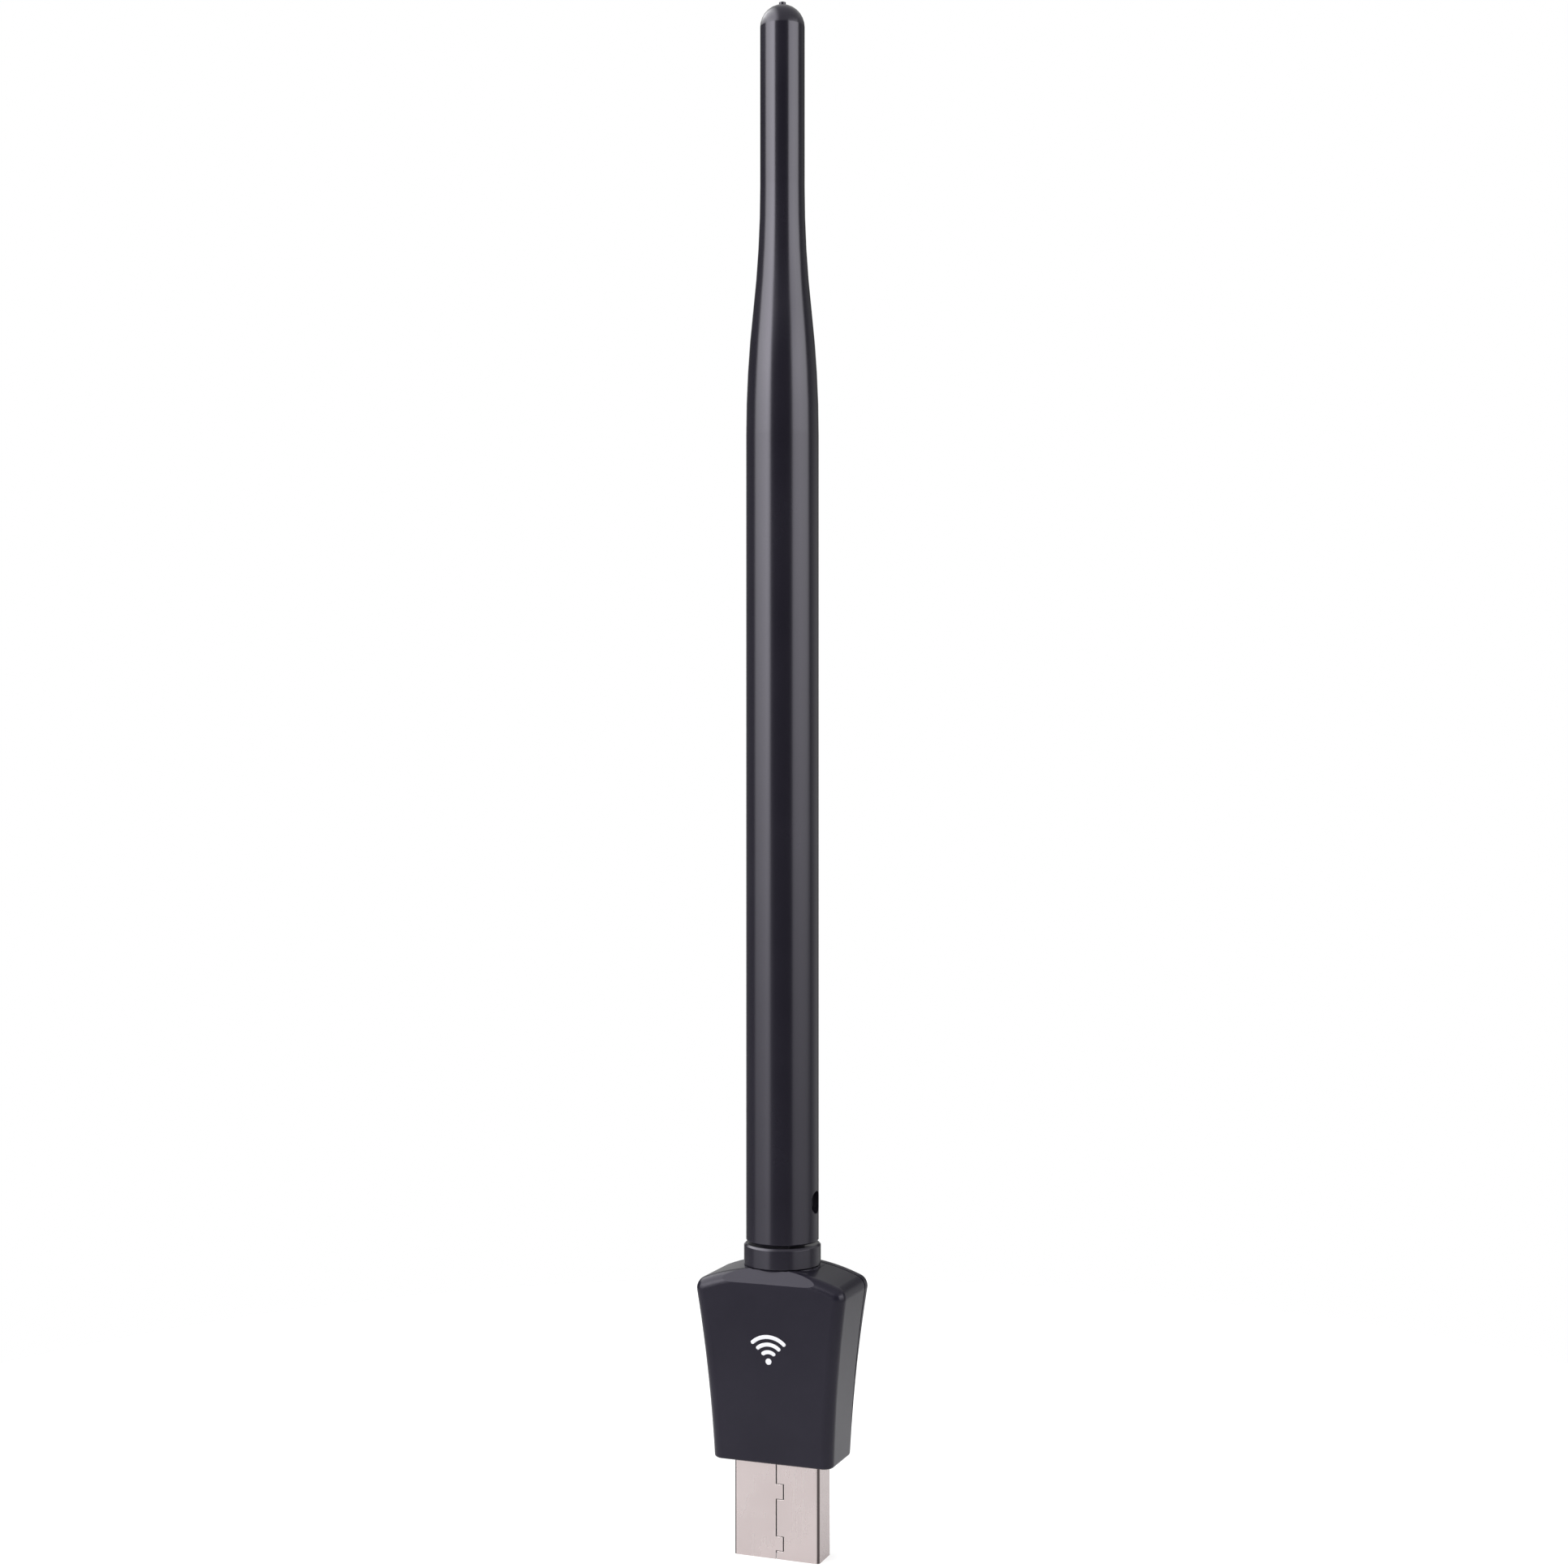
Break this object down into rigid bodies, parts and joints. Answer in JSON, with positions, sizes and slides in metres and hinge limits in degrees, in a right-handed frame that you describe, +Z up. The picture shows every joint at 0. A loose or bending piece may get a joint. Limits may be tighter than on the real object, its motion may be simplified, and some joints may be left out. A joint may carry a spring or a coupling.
{
  "type": "usb wifi adapter with folding antenna",
  "caption": "USB wifi adapter on a rectangular plug, with a flared casing and a long antenna that swivels and folds back.",
  "frame": {"origin": "centre of the plug's open end", "axes": "+Z up the antenna, -Y the front face with the folded seam, +X the right-hand side seen from the front"},
  "size_m": [0.0208, 0.0112, 0.2056],
  "materials": {
    "casing_plastic": "satin moulded black",
    "antenna_plastic": "satin moulded black",
    "plug_metal": "nickel plated sheet",
    "contact_gold": "gold plated",
    "tongue_plastic": "matte moulded",
    "board": "solder mask on glass fibre",
    "chip_body": "moulded epoxy",
    "component_metal": "tinned",
    "component_ceramic": "fired ceramic",
    "pin_steel": "drawn pin",
    "cable_jacket": "smooth extruded jacket",
    "brass": "drawn brass",
    "copper_wire": "enamelled wire",
    "spacer_plastic": "natural moulded plastic"
  },
  "bodies": {
    "casing": {"front_cover": "casing_plastic", "rear_cover": "casing_plastic", "usb_shell": "plug_metal", "usb_insulator": "tongue_plastic", "usb_contact_1": "contact_gold", "usb_contact_2": "contact_gold", "usb_contact_3": "contact_gold", "usb_contact_4": "contact_gold", "circuit_board": "board", "wifi_chip": "chip_body", "rf_amplifier": "chip_body", "antenna_filter": "component_ceramic", "crystal": "component_metal", "voltage_regulator": "chip_body", "power_inductor": "chip_body", "chip_capacitors": "component_ceramic", "chip_resistors": "chip_body", "cable_clamp": "component_metal", "cable_in_casing": "cable_jacket"},
    "swivel": {"swivel_base": "antenna_plastic", "cable_through_hinge": "cable_jacket"},
    "antenna": {"antenna_sleeve": "antenna_plastic", "hinge_pin_left": "pin_steel", "hinge_pin_right": "pin_steel", "cable_in_antenna": "cable_jacket", "cable_ferrule": "brass", "radiator_sleeve": "brass", "radiator_rod": "copper_wire", "radiator_coil": "copper_wire", "radiator_tip_wire": "copper_wire", "radiator_spacer": "spacer_plastic"}
  },
  "joints": [
    {"name": "antenna_swivel", "type": "hinge", "parent": "casing", "child": "swivel", "pos_m": [0, 0, 0.0413], "axis": [0, 0, 1], "range_deg": [-160, 160]},
    {"name": "antenna_fold", "type": "hinge", "parent": "swivel", "child": "antenna", "pos_m": [0, 0, 0.0469], "axis": [-1, 0, 0], "range_deg": [0, 90], "deforming": ["cable_through_hinge"]}
  ]
}
